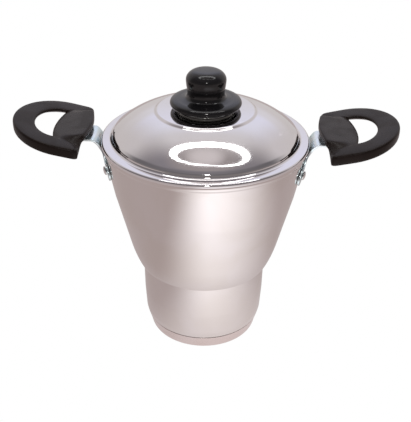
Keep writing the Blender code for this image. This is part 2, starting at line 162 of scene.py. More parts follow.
def through(points, per_span):
    """A smooth line through the points."""
    ends = [points[0]] + list(points) + [points[-1]]
    line = []
    for a, b, c, d in zip(ends, ends[1:], ends[2:], ends[3:]):
        for k in range(per_span):
            t = k / per_span
            line.append(tuple(0.5 * (2 * q + (r - p) * t + (2 * p - 5 * q + 4 * r - s) * t ** 2
                                     + (3 * q - p - 3 * r + s) * t ** 3) for p, q, r, s in zip(a, b, c, d)))
    line.append(tuple(points[-1]))
    return line


def softened(points, radius, count=5, least_deg=7.0):
    """The same line with each sharp corner eased over that distance on both sides."""
    line = [points[0]]
    for before, here, after in zip(points, points[1:], points[2:]):
        run_in = Vector(here) - Vector(before)
        run_out = Vector(after) - Vector(here)
        if run_in.angle(run_out, 0.0) < math.radians(least_deg):
            line.append(here)
            continue
        start = toward(here, before, min(radius, 0.45 * run_in.length))
        end = toward(here, after, min(radius, 0.45 * run_out.length))
        line += bezier(start, here, end, count)
    line.append(points[-1])
    return line


def supported(points, longest=3.0 * MM, hold=0.3 * MM):
    """Extra points along the long stretches, so that shading stays true right up to each corner."""
    line = [points[0]]
    for a, b in zip(points, points[1:]):
        middle = math.dist(a, b) - 2.0 * hold
        if middle > hold:
            steps = max(1, round(middle / longest))
            line += [toward(a, b, hold + middle * k / steps) for k in range(steps + 1)]
        line.append(b)
    return line


def offset_line(points, distance):
    """The same line moved by distance to its right-hand side, corner by corner."""
    moved = []
    for i, (r, z) in enumerate(points):
        r0, z0 = points[max(i - 1, 0)]
        r1, z1 = points[min(i + 1, len(points) - 1)]
        dr, dz = r1 - r0, z1 - z0
        length = math.hypot(dr, dz)
        moved.append((r + dz / length * distance, z - dr / length * distance))
    return moved


# =================================== meshes ======================================================
def add_object(name, bm):
    mesh = bpy.data.meshes.new(name)
    bm.to_mesh(mesh)
    bm.free()
    obj = bpy.data.objects.new(name, mesh)
    bpy.context.scene.collection.objects.link(obj)
    return obj


def turned(name, points, steps=ROUND_STEPS, closed=False):
    """Solid of revolution about Z; points run down the outer side."""
    bm = bmesh.new()
    verts = [bm.verts.new((r, 0.0, z)) for r, z in points]
    for a, b in zip(verts, verts[1:]):
        bm.edges.new((a, b))
    if closed:
        bm.edges.new((verts[-1], verts[0]))
    obj = add_object(name, bm)
    screw = obj.modifiers.new("turn", "SCREW")
    screw.axis = "Z"
    screw.angle = 2.0 * math.pi
    screw.steps = steps
    screw.render_steps = steps
    screw.use_merge_vertices = True
    screw.merge_threshold = 0.000001
    screw.use_smooth_shade = True
    return obj


def baked(obj, smooth_deg=None):
    """Replaces the object's mesh by what its modifiers make of it."""
    graph = bpy.context.evaluated_depsgraph_get()
    mesh = bpy.data.meshes.new_from_object(obj.evaluated_get(graph))
    obj.modifiers.clear()
    obj.data = mesh
    if smooth_deg is not None:
        mesh.shade_smooth()
        mesh.set_sharp_from_angle(angle=math.radians(smooth_deg))
    return obj


def cut(obj, cutter):
    mod = obj.modifiers.new("cut", "BOOLEAN")
    mod.operation = "DIFFERENCE"
    mod.solver = "EXACT"
    mod.object = cutter
    return cutter


def cylinder_cutter(radius, depth, matrix, sides=48):
    bm = bmesh.new()
    bmesh.ops.create_cone(bm, cap_ends=True, segments=sides, radius1=radius, radius2=radius, depth=depth)
    obj = add_object("cutter", bm)
    obj.matrix_world = matrix
    return obj


def box_cutter(low, high, matrix=None):
    bm = bmesh.new()
    bmesh.ops.create_cube(bm, size=1.0)
    for vert in bm.verts:
        for i in range(3):
            vert.co[i] = low[i] if vert.co[i] < 0.0 else high[i]
    obj = add_object("cutter", bm)
    obj.matrix_world = matrix or Matrix.Identity(4)
    return obj


def finish_cuts(obj, cutters, smooth_deg=35.0, bevel=0.0):
    """Applies the cuts, eases sharp edges when a bevel width is given, and removes the cutters."""
    if bevel:
        mod = obj.modifiers.new("eased", "BEVEL")
        mod.width = bevel
        mod.segments = 3
        mod.limit_method = "ANGLE"
        mod.angle_limit = math.radians(40.0)
    bpy.context.view_layer.update()
    baked(obj, smooth_deg)
    for cutter in cutters:
        bpy.data.objects.remove(cutter, do_unlink=True)
    return obj


def side_name(side):
    return "right" if side > 0 else "left"


# =================================== pot and base ================================================
def upper_wall_r(z):
    rise = z - CREASE_Z
    return CREASE_R + UPPER_SLOPE * rise - UPPER_CURVE * rise * rise


def wall_line():
    """Outer side of the body, from under the rim down to the seam."""
    count = 12
    line = []
    for k in range(count):
        z = mix(WALL_TOP_Z, CREASE_Z, k / count)
        line.append((upper_wall_r(z), z))
    line.append((CREASE_R, CREASE_Z))
    line += bezier(SHOULDER_TOP, SHOULDER_MID, SHOULDER_END, 16)
    line += [NECK, TIER_MID, TIER_LOW]
    return line


def build_pot_body():
    outer = wall_line()
    inner = offset_line(outer, WALL)
    inner.reverse()
    floor_in = CORE_TOP_Z + GAP + WALL
    floor_out = CORE_TOP_Z + GAP
    tuck = CAP_SHEET + 2.0 * GAP
    dish = [(0.0, floor_in), (47.5 * MM, floor_in), (51.4 * MM, 9.8 * MM), (53.7 * MM, 14.0 * MM)]
    ledge = [(SEAM_R + 0.3 * MM, SEAM_Z + 2.0 * GAP), (SEAM_R - tuck, SEAM_Z + 2.0 * GAP)]
    ledge += [(53.4 * MM, 8.6 * MM), (51.6 * MM, floor_out), (0.0, floor_out)]
    rim = arc(RIM_CENTRE_R, RIM_CENTRE_Z, RIM_HALF_W, RIM_HALF_H, 235.0, -55.0, 36)
    inside = softened(dish + inner, 1.6 * MM)
    outside = softened(outer + ledge, 0.9 * MM)
    return turned("drawn_pot_body", supported(inside) + rim + supported(outside))


def build_base_cap():
    lip = bezier((SEAM_R - CAP_SHEET, SEAM_Z), (SEAM_R, SEAM_Z), (SEAM_R - 0.2 * MM, SEAM_Z - 0.6 * MM), 5)
    side = through([(56.2 * MM, 12.4 * MM), (54.8 * MM, 8.0 * MM), (53.6 * MM, 3.0 * MM),
                    (53.0 * MM, 0.9 * MM), (FOOT_R, 0.0)], 6)
    under = supported([(FOOT_R, 0.0), (30.0 * MM, 0.0), (28.8 * MM, 0.25 * MM), (27.6 * MM, 0.0), (0.0, 0.0)])
    inner = offset_line(side, CAP_SHEET)
    inner[-1] = (FOOT_R - 0.3 * MM, CAP_SHEET)
    inner.reverse()
    return turned("pressed_base_cap", [(0.0, CAP_SHEET)] + inner + lip + side[1:] + under[1:])


# =================================== lid and knob ================================================
def dome_arc(count):
    """Arc from the plateau ring out to the dome's foot."""
    (r0, z0), (r1, z1) = DOME_TOP, DOME_FOOT
    chord = math.hypot(r1 - r0, z1 - z0)
    lean = math.atan2(z1 - z0, r1 - r0)
    radius = chord / (2.0 * math.sin(DOME_SWEEP / 2.0))
    normal = lean + math.pi / 2.0
    depth = radius * math.cos(DOME_SWEEP / 2.0)
    centre = ((r0 + r1) / 2.0 - depth * math.cos(normal), (z0 + z1) / 2.0 - depth * math.sin(normal))
    points = []
    for i in range(count + 1):
        angle = normal + DOME_SWEEP / 2.0 - DOME_SWEEP * i / count
        points.append((centre[0] + radius * math.cos(angle), centre[1] + radius * math.sin(angle)))
    return points


def lid_top_line():
    line = [(LID_BORE_R, PLATEAU_Z), (26.0 * MM, PLATEAU_Z), (PLATEAU_R - 0.8 * MM, PLATEAU_Z - 0.5 * MM)]
    line.append((PLATEAU_R + 0.3 * MM, PLATEAU_Z - 1.1 * MM))
    line += dome_arc(24)
    line += [(85.0 * MM, 208.8 * MM), (85.6 * MM, 206.3 * MM), (87.2 * MM, 205.35 * MM)]
    line += arc(LID_R - 2.0 * MM, FLANGE_Z - 1.8 * MM, 2.0 * MM, 1.8 * MM, 90.0, 0.0, 10)
    line.append((LID_R, LIP_LOW_Z))
    return line


def build_lid():
    top = lid_top_line()
    under = offset_line(top, LID_SHEET)
    under[0] = (LID_BORE_R, PLATEAU_Z - LID_SHEET)
    under.reverse()
    outside = supported(softened(top, 0.8 * MM))
    inside = supported(softened(under, 0.5 * MM))
    return turned("polished_lid", outside + inside, closed=True)


def knob_line():
    """Outer side of the knob, from the middle of its top down to the skirt's edge."""
    z0, top = KNOB_LOW_Z, KNOB_TOP_Z
    line = [(0.0, top), (9.5 * MM, top - 0.3 * MM), (13.6 * MM, top - 1.6 * MM), (16.5 * MM, top - 4.2 * MM)]
    line += [(17.9 * MM, top - 7.6 * MM), (17.6 * MM, top - 12.9 * MM), (16.8 * MM, z0 + 14.0 * MM)]
    line += [(16.9 * MM, z0 + 10.4 * MM), (18.4 * MM, z0 + 7.9 * MM), (22.5 * MM, z0 + 6.9 * MM)]
    line += [(27.0 * MM, z0 + 6.6 * MM), (30.6 * MM, z0 + 5.6 * MM), (31.9 * MM, z0 + 4.0 * MM)]
    line += [(SKIRT_R, z0 + 2.4 * MM), (SKIRT_R - 0.8 * MM, z0 + 0.8 * MM), (SKIRT_R - 2.4 * MM, z0)]
    return line


def build_knob():
    pocket_r, pocket_h = 4.5 * MM + GAP, 13.0 * MM + GAP
    underside = [(SKIRT_R - 2.4 * MM, KNOB_LOW_Z), (pocket_r, KNOB_LOW_Z), (pocket_r, KNOB_LOW_Z + pocket_h)]
    underside.append((0.0, KNOB_LOW_Z + pocket_h))
    return turned("moulded_knob", through(knob_line(), 6) + supported(softened(underside, 0.3 * MM))[1:])


def flat_ring(name, hole_r, outer_r, low_z, high_z, ease, steps=ROUND_STEPS):
    """A disc with a hole and eased edges."""
    line = [(hole_r, high_z), (outer_r, high_z), (outer_r, low_z), (hole_r, low_z)]
    return turned(name, supported(softened(line, ease)), steps, closed=True)


def screw_with_recess(name, head_top_z, head_low_z, tip_z, head_r, x):
    """Pan head pointing down, with a cross recess, on a plain shank."""
    line = [(0.0, tip_z), (SCREW_R - 0.4 * MM, tip_z), (SCREW_R, tip_z - 0.6 * MM), (SCREW_R, head_top_z)]
    line += [(head_r, head_top_z), (head_r - 0.1 * MM, mix(head_top_z, head_low_z, 0.5))]
    line += [(head_r - 1.2 * MM, head_low_z), (0.0, head_low_z - 0.3 * MM)]
    screw = turned(name, supported(softened(line, 0.5 * MM)), 48)
    baked(screw)
    arm, width, deep = 2.3 * MM, 0.45 * MM, 1.5 * MM
    cutters = []
    for turn in (0.0, math.pi / 2.0):
        matrix = Matrix.Translation((0.0, 0.0, head_low_z - 0.3 * MM)) @ Matrix.Rotation(turn, 4, "Z")
        cutters.append(cut(screw, box_cutter((-arm, -width, -MM), (arm, width, deep), matrix)))
    finish_cuts(screw, cutters, 40.0)
    screw.location.x = x
    return screw


def split_washer(name, hole_r, outer_r, low_z, high_z, x):
    """Lock washer: a flat section swept not quite once round, rising a little at its open ends."""
    bm = bmesh.new()
    steps, open_deg = 60, 16.0
    thick = 0.82 * (high_z - low_z)
    rise = (high_z - low_z) - thick
    grid = []
    for i in range(steps + 1):
        angle = math.radians(mix(open_deg / 2.0, 360.0 - open_deg / 2.0, i / steps))
        z = low_z + rise * i / steps
        ring = [(outer_r, z), (outer_r, z + thick), (hole_r, z + thick), (hole_r, z)]
        grid.append([bm.verts.new((r * math.cos(angle), r * math.sin(angle), zz)) for r, zz in ring])
    for a, b in zip(grid, grid[1:]):
        for j in range(4):
            k = (j + 1) % 4
            bm.faces.new((a[j], b[j], b[k], a[k]))
    bm.faces.new(grid[0])
    bm.faces.new(grid[-1])
    bmesh.ops.recalc_face_normals(bm, faces=bm.faces)
    washer = add_object(name, bm)
    finish_cuts(washer, [], 35.0, bevel=0.08 * MM)
    washer.location.x = x
    return washer


# =================================== grips =======================================================
def loop_top_z(x):
    return GRIP_REF[1] + GRIP_TILT * (x - GRIP_REF[0])


def oval_point(centre_x, half_length, half_width, deg):
    angle = math.radians(deg)
    return (centre_x + half_length * math.cos(angle), half_width * math.sin(angle))


def loop_stations():
    """Pairs of hole-edge and outer-edge points round one half of the loop, ending at the crease."""
    pairs = []
    count = 12
    for i in range(count + 1):
        deg = 90.0 * i / count
        pairs.append((oval_point(HOLE_CENTRE_X, HOLE_HALF_LENGTH, HOLE_HALF_WIDTH, deg),
                      oval_point(LOOP_CENTRE_X, LOOP_HALF_LENGTH, LOOP_HALF_WIDTH, deg)))
    edge_y = LOOP_HALF_WIDTH - 0.4 * MM
    pairs.append(((133.7 * MM, 28.2 * MM), (119.0 * MM, edge_y)))
    pairs.append(((133.5 * MM, 28.0 * MM), (LOOP_END_X + 1.6 * MM, edge_y)))
    pairs.append(((133.4 * MM, 27.8 * MM), (LOOP_END_X, edge_y - 2.2 * MM)))
    return pairs


def web_stations():
    """The same for the web and its tongue, from the crease to the middle plane."""
    outer = [(LOOP_END_X, 38.6 * MM), (109.2 * MM, 33.5 * MM), (108.5 * MM, 30.6 * MM)]
    outer += [(107.6 * MM, 29.3 * MM), (106.7 * MM, 28.3 * MM), (106.1 * MM, 26.6 * MM)]
    outer += [(105.4 * MM, 23.5 * MM), (104.1 * MM, 16.8 * MM), (103.0 * MM, 8.8 * MM), (TONGUE_X, 0.0)]
    pairs = []
    for i, point in enumerate(outer):
        y = 27.4 * MM * (1.0 - i / (len(outer) - 1))
        bulge = 1.0 - (y / HOLE_HALF_WIDTH) ** 2
        pairs.append(((mix(HOLE_CORNER_X, HOLE_INNER_X, bulge), y), point))
    return pairs


def web_top_z(x, y):
    """Flat web: it rises towards the pot, and falls to the loop at each side."""
    t = (HOLE_INNER_X - x) / (HOLE_INNER_X - TONGUE_X)
    side = loop_top_z(x) - 0.8 * MM
    return mix(mix(WEB_HOLE_Z, TONGUE_Z, t), side, smoothstep(27.0 * MM, 38.0 * MM, abs(y)))


def loop_section(inner, outer):
    """Section of the loop: a flat top, thin at the hole and deep at the outside."""
    ring = []
    levels = [(0.00, -0.7, -2.4), (0.07, -0.2, -3.6), (0.25, 0.0, -5.6), (0.50, 0.0, -8.2)]
    levels += [(0.78, 0.0, -10.2), (0.93, -0.3, -10.0), (0.985, -1.3, -9.0), (1.00, -3.2, -7.6)]
    for s, up, low in levels:
        x, y = mix(inner[0], outer[0], s), mix(inner[1], outer[1], s)
        ring.append((x, y, loop_top_z(x) + up * MM))
    for s, up, low in reversed(levels):
        x, y = mix(inner[0], outer[0], s), mix(inner[1], outer[1], s)
        ring.append((x, y, loop_top_z(x) + low * MM))
    return ring


def web_section(inner, outer):
    """Section of the web: a plate from the hole to the tongue, with a deep boss under its middle."""
    ring = []
    stops = (0.00, 0.05, 0.28, 0.37, 0.73, 0.80, 0.97, 1.00)
    boss_stops = (0.37, 0.73)
    edge_drop = 0.9 * MM
    over_boss = abs(outer[1]) < BOSS_HALF_W
    for s in stops:
        x, y = mix(inner[0], outer[0], s), mix(inner[1], outer[1], s)
        ring.append((x, y, web_top_z(x, y) - (edge_drop if s in (0.00, 1.00) else 0.0)))
    for s in reversed(stops):
        x, y = mix(inner[0], outer[0], s), mix(inner[1], outer[1], s)
        under = web_top_z(x, y) - mix(3.0, 7.0, s) * MM
        if s in boss_stops and over_boss:
            under = BOSS_LOW_Z
        ring.append((x, y, under + (edge_drop if s == 1.00 else 0.0)))
    return ring


EDGE_COLUMN = 5                # the ring point that carries the loop's outer top edge
EDGE_CREASE = 0.45
JOIN_CREASE = 0.7


def build_grip(side):
    """Smooth moulding: rings of sections right round the finger hole, then the slot and the bores."""
    half = [loop_section(*pair) for pair in loop_stations()]
    join = len(half)
    half += [web_section(*pair) for pair in web_stations()]
    back = [[(x, -y, z) for x, y, z in ring] for ring in half[-2:0:-1]]
    rings = half + back
    joins = {join - 1, join, len(rings) - join, len(rings) - join + 1}
    bm = bmesh.new()
    grid = [[bm.verts.new((side * x, side * y, z)) for x, y, z in ring] for ring in rings]
    for i, row in enumerate(grid):
        nxt = grid[(i + 1) % len(grid)]
        for j in range(len(row)):
            k = (j + 1) % len(row)
            bm.faces.new((row[j], nxt[j], nxt[k], row[k]))
    bmesh.ops.recalc_face_normals(bm, faces=bm.faces)
    crease = bm.edges.layers.float.new("crease_edge")
    for i, row in enumerate(grid):
        nxt = grid[(i + 1) % len(grid)]
        bm.edges.get((row[EDGE_COLUMN], nxt[EDGE_COLUMN]))[crease] = EDGE_CREASE
        if i in joins:
            for j in range(len(row)):
                bm.edges.get((row[j], row[(j + 1) % len(row)]))[crease] = JOIN_CREASE
    grip = add_object(side_name(side) + "_moulded_grip", bm)
    smooth = grip.modifiers.new("smooth", "SUBSURF")
    smooth.levels = 2
    smooth.render_levels = 2
    baked(grip)
    slot_x = sorted((side * 95.0 * MM, side * (ARM_END_X + GAP)))
    half_slot = ARM_HALF_W + GAP
    slot_low = ARM_Z - BRACKET_SHEET / 2.0 - GAP
    slot_high = ARM_Z + BRACKET_SHEET / 2.0 + GAP
    cutters = [cut(grip, box_cutter((slot_x[0], -half_slot, slot_low), (slot_x[1], half_slot, slot_high)))]
    head_bore = 4.2 * MM + GAP + 0.2 * MM
    for radius, low, high in ((head_bore, BOSS_LOW_Z - 3.0 * MM, 199.8 * MM),
                              (SCREW_R + GAP, 198.8 * MM, slot_low + MM)):
        matrix = Matrix.Translation((side * GRIP_SCREW_X, 0.0, (low + high) / 2.0))
        cutters.append(cut(grip, cylinder_cutter(radius, high - low, matrix)))
    return finish_cuts(grip, cutters, 32.0)


# =================================== brackets and rivets =========================================
def bracket_rows():
    """Rows up the sheet: (x, z, half width, how much it hugs the wall, crown)."""
    stand_off = GAP + 0.05 * MM + BRACKET_SHEET / 2.0
    rows = []
    count = 16
    for i in range(count + 1):
        deg = -80.0 + 160.0 * i / count
        z = EAR_Z + EAR_R * math.sin(math.radians(deg))
        half = RIVET_OFFSET + EAR_R * math.cos(math.radians(deg))
        rows.append((upper_wall_r(z) + stand_off, z, half, 1.0, 0.0))
    neck = [rows[-1], (upper_wall_r(188.8 * MM) + stand_off, 188.8 * MM, 18.5 * MM, 1.0, 0.0)]
    neck.append((93.7 * MM, 192.6 * MM, 14.8 * MM, 0.9, 0.0))
    neck.append((95.9 * MM, 196.4 * MM, 13.6 * MM, 0.7, 0.2 * MM))
    neck.append((97.4 * MM, 199.8 * MM, 13.6 * MM, 0.5, 0.6 * MM))
    neck.append((99.0 * MM, 202.4 * MM, 14.4 * MM, 0.2, 0.8 * MM))
    neck.append((100.8 * MM, 204.1 * MM, 15.2 * MM, 0.0, 0.4 * MM))
    neck.append((103.0 * MM, ARM_Z, ARM_HALF_W - 0.3 * MM, 0.0, 0.0))
    rows += through(neck, 4)[1:]
    rows.append((ARM_END_X - 3.0 * MM, ARM_Z, ARM_HALF_W - 0.3 * MM, 0.0, 0.0))
    rows.append((ARM_END_X, ARM_Z, ARM_HALF_W - 3.0 * MM, 0.0, 0.0))
    return rows


def build_bracket(side):
    columns = 32
    bm = bmesh.new()
    grid = []
    for x, z, half, hug, crown in bracket_rows():
        row = []
        for j in range(columns + 1):
            t = 2.0 * j / columns - 1.0
            y = half * t
            bulge = hug * (x - math.sqrt(x * x - y * y))
            row.append(bm.verts.new((side * (x - bulge), side * y, z - crown * t * t)))
        grid.append(row)
    for low, high in zip(grid, grid[1:]):
        for j in range(columns):
            bm.faces.new((low[j], low[j + 1], high[j + 1], high[j]))
    bracket = add_object(side_name(side) + "_pressed_bracket", bm)
    sheet = bracket.modifiers.new("sheet", "SOLIDIFY")
    sheet.thickness = BRACKET_SHEET
    sheet.offset = 0.0
    return finish_cuts(bracket, [], 45.0, bevel=0.45 * MM)


def rivet_matrix(side, lateral):
    """Place and axis of a rivet: its +Z runs out through the wall, square to it."""
    radius = upper_wall_r(RIVET_Z)
    swing = math.asin(RIVET_OFFSET / radius) * lateral
    slope = UPPER_SLOPE - 2.0 * UPPER_CURVE * (RIVET_Z - CREASE_Z)
    out = Vector((side * math.cos(swing), side * math.sin(swing), 0.0))
    axis = (out - Vector((0.0, 0.0, slope))).normalized()
    matrix = axis.to_track_quat("Z", "Y").to_matrix().to_4x4()
    matrix.translation = out * radius + Vector((0.0, 0.0, RIVET_Z))
    return matrix


def build_rivet(name, matrix):
    """Domed head outside, low button inside; local z is 0 on the wall's outer face."""
    head = BRACKET_SHEET + 2.0 * GAP + 0.35 * MM
    tail = -WALL - 2.0 * GAP
    dome = arc(0.0, head + 0.4 * MM, RIVET_HEAD_R, 1.7 * MM, 90.0, 0.0, 16)
    shank = [(RIVET_HEAD_R - 0.2 * MM, head), (RIVET_R, head), (RIVET_R, tail)]
    shank.append((RIVET_HEAD_R - 0.1 * MM, tail))
    button = arc(0.0, tail - 0.3 * MM, RIVET_HEAD_R, 1.0 * MM, 0.0, -90.0, 10)
    rivet = turned(name, dome + shank + button, 48)
    rivet.matrix_world = matrix
    return rivet


# =================================== shader groups ===============================================
def new_group(name, inputs, outputs):
    group = bpy.data.node_groups.new(name, "ShaderNodeTree")
    for label, value in inputs:
        socket = group.interface.new_socket(label, in_out="INPUT", socket_type="NodeSocketFloat")
        socket.default_value = value
    for label in outputs:
        group.interface.new_socket(label, in_out="OUTPUT", socket_type="NodeSocketFloat")
    return group, group.nodes.new("NodeGroupInput"), group.nodes.new("NodeGroupOutput")


def math_node(tree, operation, a, b=None):
    node = tree.nodes.new("ShaderNodeMath")
    node.operation = operation
    for socket, value in zip(node.inputs, (a, b)):
        if isinstance(value, bpy.types.NodeSocket):
            tree.links.new(value, socket)
        elif value is not None:
            socket.default_value = value
    return node.outputs[0]


def range_node(tree, value, from_min, from_max, to_min, to_max):
    node = tree.nodes.new("ShaderNodeMapRange")
    node.interpolation_type = "SMOOTHSTEP"
    tree.links.new(value, node.inputs["Value"])
    limits = {"From Min": from_min, "From Max": from_max, "To Min": to_min, "To Max": to_max}
    for label, number in limits.items():
        node.inputs[label].default_value = number
    return node.outputs["Result"]


def noise_node(tree, vector, scale, detail=2.0, distortion=0.0):
    node = tree.nodes.new("ShaderNodeTexNoise")
    node.inputs["Detail"].default_value = detail
    node.inputs["Distortion"].default_value = distortion
    if isinstance(scale, bpy.types.NodeSocket):
        tree.links.new(scale, node.inputs["Scale"])
    else:
        node.inputs["Scale"].default_value = scale
    tree.links.new(vector, node.inputs["Vector"])
    return node.outputs["Fac"]


def polishing_lines_group():
    """Fine lines that run round the piece's axis, as a buffing wheel leaves them."""
    group, given, result = new_group("polishing lines", [("Lines per Metre", 1500.0), ("Shortness", 3.0)],
                                     ["Height", "Streak"])
    place = group.nodes.new("ShaderNodeTexCoord").outputs["Object"]
    split = group.nodes.new("ShaderNodeSeparateXYZ")
    group.links.new(place, split.inputs[0])
    x, y, z = split.outputs
    radius = math_node(group, "SQRT", math_node(group, "ADD", math_node(group, "MULTIPLY", x, x),
                                                math_node(group, "MULTIPLY", y, y)))
    safe = math_node(group, "MAXIMUM", radius, 0.0005)
    level = math_node(group, "ADD", z, math_node(group, "MULTIPLY", radius, 0.8))
    joined = group.nodes.new("ShaderNodeCombineXYZ")
    for socket, value in zip(joined.inputs, (x, y)):
        share = math_node(group, "DIVIDE", value, safe)
        group.links.new(math_node(group, "MULTIPLY", share, given.outputs["Shortness"]), socket)
    group.links.new(math_node(group, "MULTIPLY", level, given.outputs["Lines per Metre"]), joined.inputs[2])
    fine = noise_node(group, joined.outputs[0], 1.0, 3.0)
    group.links.new(fine, result.inputs["Height"])
    group.links.new(range_node(group, fine, 0.35, 0.65, 0.0, 1.0), result.inputs["Streak"])
    return group


def handling_marks_group():
    """Soft smudges from hands and wiping, and a few curved hairline scratches."""
    group, given, result = new_group("handling marks", [("Smudge Scale", 18.0), ("Scratch Scale", 55.0)],
                                     ["Smudge", "Scratch"])
    place = group.nodes.new("ShaderNodeTexCoord").outputs["Object"]
    blotch = noise_node(group, place, given.outputs["Smudge Scale"], 4.0, 0.6)
    group.links.new(range_node(group, blotch, 0.36, 0.66, 0.0, 1.0), result.inputs["Smudge"])
    waver = noise_node(group, place, given.outputs["Scratch Scale"], 1.0, 1.4)
    off_line = math_node(group, "ABSOLUTE", math_node(group, "SUBTRACT", waver, 0.5))
    hairline = range_node(group, off_line, 0.0, 0.006, 1.0, 0.0)
    broken = range_node(group, blotch, 0.52, 0.62, 0.0, 1.0)
    group.links.new(math_node(group, "MULTIPLY", hairline, broken), result.inputs["Scratch"])
    return group


def edge_wear_group():
    """Brighter, rubbed convex edges, broken up so that they aren't even."""
    group, given, result = new_group("edge wear", [("Spread", 0.08), ("Break Scale", 120.0)], ["Wear"])
    shape = group.nodes.new("ShaderNodeNewGeometry").outputs["Pointiness"]
    place = group.nodes.new("ShaderNodeTexCoord").outputs["Object"]
    above = math_node(group, "SUBTRACT", shape, 0.505)
    share = math_node(group, "DIVIDE", above, given.outputs["Spread"])
    blotch = noise_node(group, place, given.outputs["Break Scale"], 3.0)
    patchy = range_node(group, blotch, 0.35, 0.6, 0.2, 1.0)
    edge = math_node(group, "MINIMUM", math_node(group, "MAXIMUM", share, 0.0), 1.0)
    group.links.new(math_node(group, "MULTIPLY", edge, patchy), result.inputs["Wear"])
    return group


def moulding_grain_group():
    """Low swells and fine grain of a pressed phenolic moulding."""
    group, given, result = new_group("moulding grain", [("Grain Scale", 900.0), ("Swell Scale", 60.0)],
                                     ["Height", "Mottle"])
    place = group.nodes.new("ShaderNodeTexCoord").outputs["Object"]
    grain = noise_node(group, place, given.outputs["Grain Scale"], 2.0)
    swell = noise_node(group, place, given.outputs["Swell Scale"], 3.0)
    both = math_node(group, "ADD", math_node(group, "MULTIPLY", grain, 0.25), swell)
    group.links.new(both, result.inputs["Height"])
    group.links.new(range_node(group, swell, 0.35, 0.65, 0.0, 1.0), result.inputs["Mottle"])
    return group


GROUPS = {
    "lines": polishing_lines_group(),
    "marks": handling_marks_group(),
    "wear": edge_wear_group(),
    "grain": moulding_grain_group(),
}


def place_group(tree, key, **values):
    node = tree.nodes.new("ShaderNodeGroup")
    node.node_tree = GROUPS[key]
    for label, value in values.items():
        node.inputs[label.replace("_", " ")].default_value = value
    return node.outputs


def mix_colours(tree, factor, a, b):
    node = tree.nodes.new("ShaderNodeMix")
    node.data_type = "RGBA"
    tree.links.new(factor, node.inputs[0])
    for socket, value in ((node.inputs[6], a), (node.inputs[7], b)):
        if isinstance(value, bpy.types.NodeSocket):
            tree.links.new(value, socket)
        else:
            socket.default_value = (*value, 1.0)
    return node.outputs[2]


def bump_node(tree, height, strength, distance):
    node = tree.nodes.new("ShaderNodeBump")
    node.inputs["Strength"].default_value = strength
    node.inputs["Distance"].default_value = distance
    tree.links.new(height, node.inputs["Height"])
    return node.outputs["Normal"]


def new_material(name, metallic):
    material = bpy.data.materials.new(name)
    material.use_nodes = True
    shader = material.node_tree.nodes["Principled BSDF"]
    shader.inputs["Metallic"].default_value = metallic
    return material, material.node_tree, shader


# =================================== finishes ====================================================
def polished_metal(name, light, dull, rough, lines=1500.0, shortness=3.0, ring_depth=0.02 * MM,
                   smudge_scale=18.0):
    """Metal polished round its axis; rough is (cleanest, most smudged)."""
    material, tree, shader = new_material(name, 1.0)
    rings = place_group(tree, "lines", Lines_per_Metre=lines, Shortness=shortness)
    marks = place_group(tree, "marks", Smudge_Scale=smudge_scale, Scratch_Scale=3.0 * smudge_scale)
    wear = place_group(tree, "wear")
    clean = mix_colours(tree, marks["Smudge"], light, dull)
    bright = mix_colours(tree, wear["Wear"], clean, tuple(min(1.0, 1.12 * c) for c in light))
    tree.links.new(bright, shader.inputs["Base Color"])
    hazed = range_node(tree, marks["Smudge"], 0.0, 1.0, rough[0], rough[1])
    streaked = math_node(tree, "MULTIPLY", rings["Streak"], 0.35 * (rough[1] - rough[0]))
    scored = math_node(tree, "MULTIPLY", marks["Scratch"], 0.04)
    total = math_node(tree, "ADD", math_node(tree, "ADD", hazed, streaked), scored)
    tree.links.new(total, shader.inputs["Roughness"])
    relief = math_node(tree, "SUBTRACT", rings["Height"], math_node(tree, "MULTIPLY", marks["Scratch"], 0.08))
    tree.links.new(bump_node(tree, relief, 0.35, ring_depth), shader.inputs["Normal"])
    return material


def plated_metal(name, light, cast, rough, speck_scale=240.0):
    """Bright plating whose thin colour cast drifts over the part."""
    material, tree, shader = new_material(name, 1.0)
    marks = place_group(tree, "marks", Smudge_Scale=45.0, Scratch_Scale=160.0)
    grain = place_group(tree, "grain", Grain_Scale=speck_scale * 4.0, Swell_Scale=speck_scale)
    wear = place_group(tree, "wear", Spread=0.1)
    drift = mix_colours(tree, marks["Smudge"], light, cast)
    tree.links.new(mix_colours(tree, wear["Wear"], drift, (0.86, 0.88, 0.88)), shader.inputs["Base Color"])
    spread = range_node(tree, grain["Mottle"], 0.0, 1.0, rough[0], rough[1])
    scored = math_node(tree, "MULTIPLY", marks["Scratch"], 0.15)
    tree.links.new(math_node(tree, "ADD", spread, scored), shader.inputs["Roughness"])
    tree.links.new(bump_node(tree, grain["Height"], 0.2, 0.008 * MM), shader.inputs["Normal"])
    return material


def phenolic(name, dark, dusty, rough, gloss, coat, grain_depth):
    """Black moulding: slight mottle, rubbed edges and a film of handling grease."""
    material, tree, shader = new_material(name, 0.0)
    grain = place_group(tree, "grain")
    marks = place_group(tree, "marks", Smudge_Scale=40.0, Scratch_Scale=90.0)
    wear = place_group(tree, "wear", Spread=0.12)
    body = mix_colours(tree, grain["Mottle"], dark, dusty)
    rubbed = math_node(tree, "MULTIPLY", wear["Wear"], 0.5)
    tree.links.new(mix_colours(tree, rubbed, body, (0.05, 0.045, 0.042)), shader.inputs["Base Color"])
    film = range_node(tree, marks["Smudge"], 0.0, 1.0, rough[0], rough[1])
    scored = math_node(tree, "MULTIPLY", marks["Scratch"], 0.15)
    tree.links.new(math_node(tree, "ADD", film, scored), shader.inputs["Roughness"])
    shader.inputs["Specular IOR Level"].default_value = gloss
    shader.inputs["Coat Weight"].default_value = coat
    shader.inputs["Coat Roughness"].default_value = 0.08
    tree.links.new(bump_node(tree, grain["Height"], 0.12, grain_depth), shader.inputs["Normal"])
    return material


